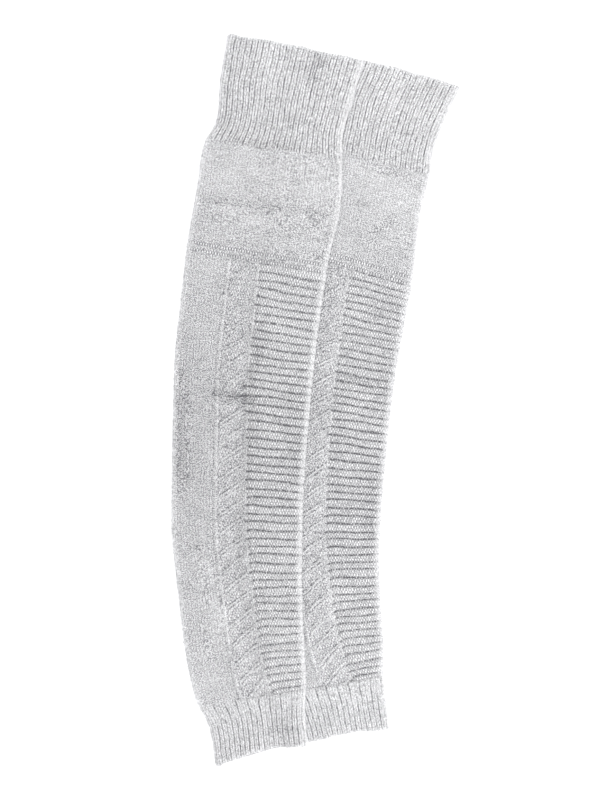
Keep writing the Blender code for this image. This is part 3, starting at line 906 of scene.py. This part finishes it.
def wool_material():
    """Heather wool: pale and dark fibres, the single stitches, painted shade between them and in the grooves,
    and a painted highlight at the folds and open edges.
    """
    look = bpy.context.scene.wool_look
    material, tree = empty_material("heather wool")
    place = tree.add("ShaderNodeTexCoord", {}, {}, "Object")
    across, along, _ = tree.parts(tree.add("ShaderNodeUVMap", {"uv_map": "Knit"}, {}))
    purl, phase, shade, rim = (
        tree.add("ShaderNodeAttribute", {"attribute_name": name}, {}, "Fac")
        for name in ("purl", "phase", "shade", "rim")
    )
    sharp, purl = (purl - 1.0).math("MAXIMUM", 0.0), purl.math("MINIMUM", 1.0)

    # The stitches: two slanting halves to a wale on plain cloth, and bumps on purl cloth
    wander = noise(tree, place, SLOW_WANDER) - 0.5
    jitter = noise(tree, place, QUICK_WANDER, 1.0) - 0.5
    wale = across / WALE + wander * 0.3 + jitter * 0.45
    course = along / COURSE + wander * 0.6 + jitter * 0.6
    side = wale.slopes()
    strand = course + side * 0.85
    plain = (1 - side**4 * 0.9) * (1 - (1 - side) ** 6 * 0.5) * (0.3 + strand.wave() * 0.7)
    stitch = plain * (1 - purl) + purl_bumps(phase + jitter * 0.12, wale) * purl

    # The heather of the yarn, from stitch to stitch, in specks, along the rows and in clouds
    cell = tree.vector((wale * 2).math("FLOOR"), strand.math("FLOOR"))
    cell = tree.add("ShaderNodeTexWhiteNoise", {"noise_dimensions": "2D"}, {"Vector": cell})
    fibres = noise(tree, place, FIBRES, 3.0).ease(0.25, 0.75)
    specks = noise(tree, place, SPECKS).ease(0.44, 0.52)
    clouds = noise(tree, place, CLOUDS).ease(0.25, 0.75)
    streaks = noise(tree, tree.vector(across * 0.09, course.math("FLOOR") * 3.7), 1.0).ease(0.25, 0.75)
    heather = (specks - 0.5) * (0.6 + shade.math("MAXIMUM", 0.0) * 0.9)
    yarn = cell * 0.28 + heather + streaks * 0.17 + clouds * 0.1 + 0.27
    base = mixed(tree, yarn, colour(look.dark), colour(look.light))
    # Painted highlight: the folds and open edges are drawn towards a paler colour
    base = mixed(tree, rim * 0.42, base, colour(look.nap_and_painted_highlight))

    # The painted shade between the stitches and in the grooves, lessened at the folds and open edges as part
    # of their painted highlight
    between = (1 - stitch) ** 1.6 * (0.36 + fibres * 0.36 + cell * 0.32 + purl * 0.2 + sharp * 0.22)
    groove = shade * (1.15 - stitch * 0.4) * (0.6 + (1 - specks) * 0.7)
    depth = (between + groove - between * groove).math("MINIMUM", 0.97) * (1 - rim * 0.65)
    base = mixed(tree, depth, base, colour(look.shade))
    height = stitch * look.stitch + fibres * look.stitch * 0.5
    bump = tree.add("ShaderNodeBump", {}, {"Height": height, "Distance": 1.0, "Strength": 0.8})
    surface(tree, {
        "Base Color": base, "Roughness": look.roughness, "Normal": bump, "Sheen Weight": look.sheen,
        "Sheen Roughness": 0.5, "Specular IOR Level": 0.15,
    })
    return material


def fibre_material():
    """Pale single fibres."""
    look = bpy.context.scene.wool_look
    material, tree = empty_material("loose fibres")
    place = tree.add("ShaderNodeTexCoord", {}, {}, "Object")
    base = mixed(tree, noise(tree, place, 300.0).ease(0.2, 0.6), colour(look.dark), colour(look.light))
    surface(tree, {
        "Base Color": base, "Roughness": look.roughness, "Sheen Weight": look.sheen,
        "Specular IOR Level": 0.15,
    })
    return material


def only(kind, name, make):
    """The data block of that name, made the first time that it is asked for."""
    found = kind.get(name)
    return found if found else make()


def wool():
    return only(bpy.data.materials, "heather wool", wool_material)


def relief_sizes():
    """Values for the inputs of the relief trees, with the lengths along the leg in millimetres."""
    sizes = bpy.context.scene.knit_sizes
    return {
        "Rib": sizes.rib, "Ridge": sizes.ridge, "Rope": sizes.rope, "Purl": sizes.purl,
        "Edge wale": sizes.wale_edge, "Rope pitch": sizes.rope_pitch / MM, "Rope drop": sizes.rope_drop / MM,
    }


def settle(piece, stocking, part, tree, sizes):
    """Raise the relief of a knitted piece, hang it on the root body, and hide the solid that it covers."""
    grown(piece, tree, {**relief_sizes(), **sizes})
    node = f"{stocking.side}_{part}"
    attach(piece, "root")
    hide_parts(node)


def knit_cuffs(part, sections, ribs, wide_band, middle):
    """Both cuffs of a kind, from the names of the sections at their start, end and open edge. The middle is
    how much painted shade lies in the groove between the two columns of a rib."""
    tree = only(bpy.data.node_groups, "Ribs", rib_tree)
    for stocking in (RIGHT, LEFT):
        start, end, open_edge = (stocking.course.station(section) for section in sections)
        made = cuff_mesh(f"{stocking.side}_{part}_knit", stocking, start, end, ribs, open_edge, wool())
        sizes = {"Count": float(ribs), "Wide end": start + wide_band, "Middle": middle}
        settle(made, stocking, part, tree, sizes)


class STOCKINGS_OT_thigh_cuffs(bpy.types.Operator):
    """Knit the two ribbed cuffs at the top"""

    bl_idname = "stockings.thigh_cuffs"
    bl_label = "Thigh cuffs"

    def execute(self, context):
        sections = ("top edge", "cuff seam", "top edge")
        knit_cuffs("thigh_cuff", sections, THIGH_RIBS, NO_WIDE_RIBS, 0.6)
        return {"FINISHED"}


class STOCKINGS_OT_legs(bpy.types.Operator):
    """Knit the two legs with their plain, rope and ridged panels"""

    bl_idname = "stockings.legs"
    bl_label = "Legs"

    def execute(self, context):
        tree = only(bpy.data.node_groups, "Panels", panel_tree)
        for stocking in (RIGHT, LEFT):
            course = stocking.course
            purl = course.station("purl row")
            first = purl + PANELS_START
            pitch = (course.station("ankle seam") - RIDGES_END - first) / RIDGE_COUNT
            made = leg_mesh(f"{stocking.side}_leg_knit", stocking, wool())
            drawn_in = DRAWN_IN[stocking.side]
            sizes = {"First": first, "Pitch": pitch, "Purl station": purl, "Drawn in": drawn_in}
            settle(made, stocking, "leg", tree, sizes)
        return {"FINISHED"}


class STOCKINGS_OT_ankle_cuffs(bpy.types.Operator):
    """Knit the two ribbed cuffs at the bottom"""

    bl_idname = "stockings.ankle_cuffs"
    bl_label = "Ankle cuffs"

    def execute(self, context):
        sections = ("ankle seam", "bottom edge", "bottom edge")
        knit_cuffs("ankle_cuff", sections, ANKLE_RIBS, WIDE_RIB_BAND, 0.35)
        return {"FINISHED"}


class STOCKINGS_OT_fuzz(bpy.types.Operator):
    """Scatter loose fibres over both stockings"""

    bl_idname = "stockings.fuzz"
    bl_label = "Loose fibres"

    def execute(self, context):
        sizes = context.scene.fuzz_sizes
        tree = only(bpy.data.node_groups, "Fuzz", fuzz_tree)
        for part in ("thigh_cuff", "leg", "ankle_cuff"):
            for side in ("right", "left"):
                cloth = bpy.data.objects[f"{side}_{part}_knit"]
                made = bpy.data.objects.new(f"{side}_{part}_fuzz", cloth.data.copy())
                context.scene.collection.objects.link(made)
                grown(made, tree, {"Length": sizes.length, "Width": sizes.width, "Density": sizes.density,
                                   "Seed": float(sizes.seed)})
                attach(made, "root")
        return {"FINISHED"}


class STOCKINGS_OT_stage(bpy.types.Operator):
    """Set up the ground, the light and the camera"""

    bl_idname = "stockings.stage"
    bl_label = "Stage"

    def execute(self, context):
        scene, look = context.scene, context.scene.stage_look
        material, tree = empty_material("white ground")
        surface(tree, {
            "Base Color": colour(look.ground), "Roughness": 1.0, "Emission Color": (1, 1, 1, 1),
            "Emission Strength": look.glow, "Specular IOR Level": 0.0,
        })
        corners = [(x * GROUND_HALF, y * GROUND_HALF, 0) for x, y in ((-1, -1), (1, -1), (1, 1), (-1, 1))]
        mesh = bpy.data.meshes.new("ground")
        mesh.from_pydata(corners, [], [(0, 1, 2, 3)])
        mesh.materials.append(material)
        ground = bpy.data.objects.new("ground", mesh)
        scene.collection.objects.link(ground)
        world = bpy.data.worlds.new("soft sky")
        world.use_nodes = True
        background = world.node_tree.nodes["Background"]
        background.inputs["Color"].default_value = (1, 1, 1, 1)
        background.inputs["Strength"].default_value = look.sky
        scene.world = world
        for name, end in (("thigh lamp", 1), ("ankle lamp", -1)):
            lamp = bpy.data.lights.new(name, "AREA")
            lamp.shape, lamp.size, lamp.energy = "DISK", LAMP_SIZE, look.lamp
            light = bpy.data.objects.new(name, lamp)
            light.location = (LAMP_PLACE[0], end * LAMP_PLACE[1], LAMP_PLACE[2])
            aim = Vector((0, end * LAMP_AIM, 0)) - light.location
            light.rotation_euler = aim.to_track_quat("-Z", "Y").to_euler()
            scene.collection.objects.link(light)
        lens = bpy.data.cameras.new("camera")
        lens.sensor_fit, lens.sensor_height = "VERTICAL", SENSOR_HEIGHT
        lens.lens = lens.sensor_height * look.distance / look.seen
        camera = bpy.data.objects.new("camera", lens)
        camera.location = (*look.middle, look.distance)
        scene.collection.objects.link(camera)
        scene.camera = camera
        scene.view_settings.view_transform = "Standard"
        return {"FINISHED"}


class STOCKINGS_PT_panel(bpy.types.Panel):
    """Lists the pieces and their sizes"""

    bl_idname = "STOCKINGS_PT_panel"
    bl_label = "Wool stockings"
    bl_space_type = "VIEW_3D"
    bl_region_type = "UI"
    bl_category = "Stockings"

    def draw(self, context):
        for group in ("knit_sizes", "wool_look", "fuzz_sizes", "stage_look"):
            settings = getattr(context.scene, group)
            for name in settings.__annotations__:
                self.layout.prop(settings, name)
        for operator in OPERATORS:
            self.layout.operator(operator.bl_idname)


GROUPS = {"knit_sizes": KnitSizes, "wool_look": WoolLook, "fuzz_sizes": FuzzSizes, "stage_look": StageLook}
OPERATORS = (
    STOCKINGS_OT_thigh_cuffs, STOCKINGS_OT_legs, STOCKINGS_OT_ankle_cuffs, STOCKINGS_OT_fuzz,
    STOCKINGS_OT_stage,
)


def register():
    for name, group in GROUPS.items():
        bpy.utils.register_class(group)
        setattr(bpy.types.Scene, name, PointerProperty(type=group))
    for made in (*OPERATORS, STOCKINGS_PT_panel):
        bpy.utils.register_class(made)


def unregister():
    for made in reversed((*OPERATORS, STOCKINGS_PT_panel)):
        bpy.utils.unregister_class(made)
    for name, group in reversed(GROUPS.items()):
        delattr(bpy.types.Scene, name)
        bpy.utils.unregister_class(group)


def main():
    register()
    bpy.ops.stockings.thigh_cuffs()
    bpy.ops.stockings.legs()
    bpy.ops.stockings.ankle_cuffs()
    bpy.ops.stockings.fuzz()
    bpy.ops.stockings.stage()


if __name__ == "__main__":
    main()
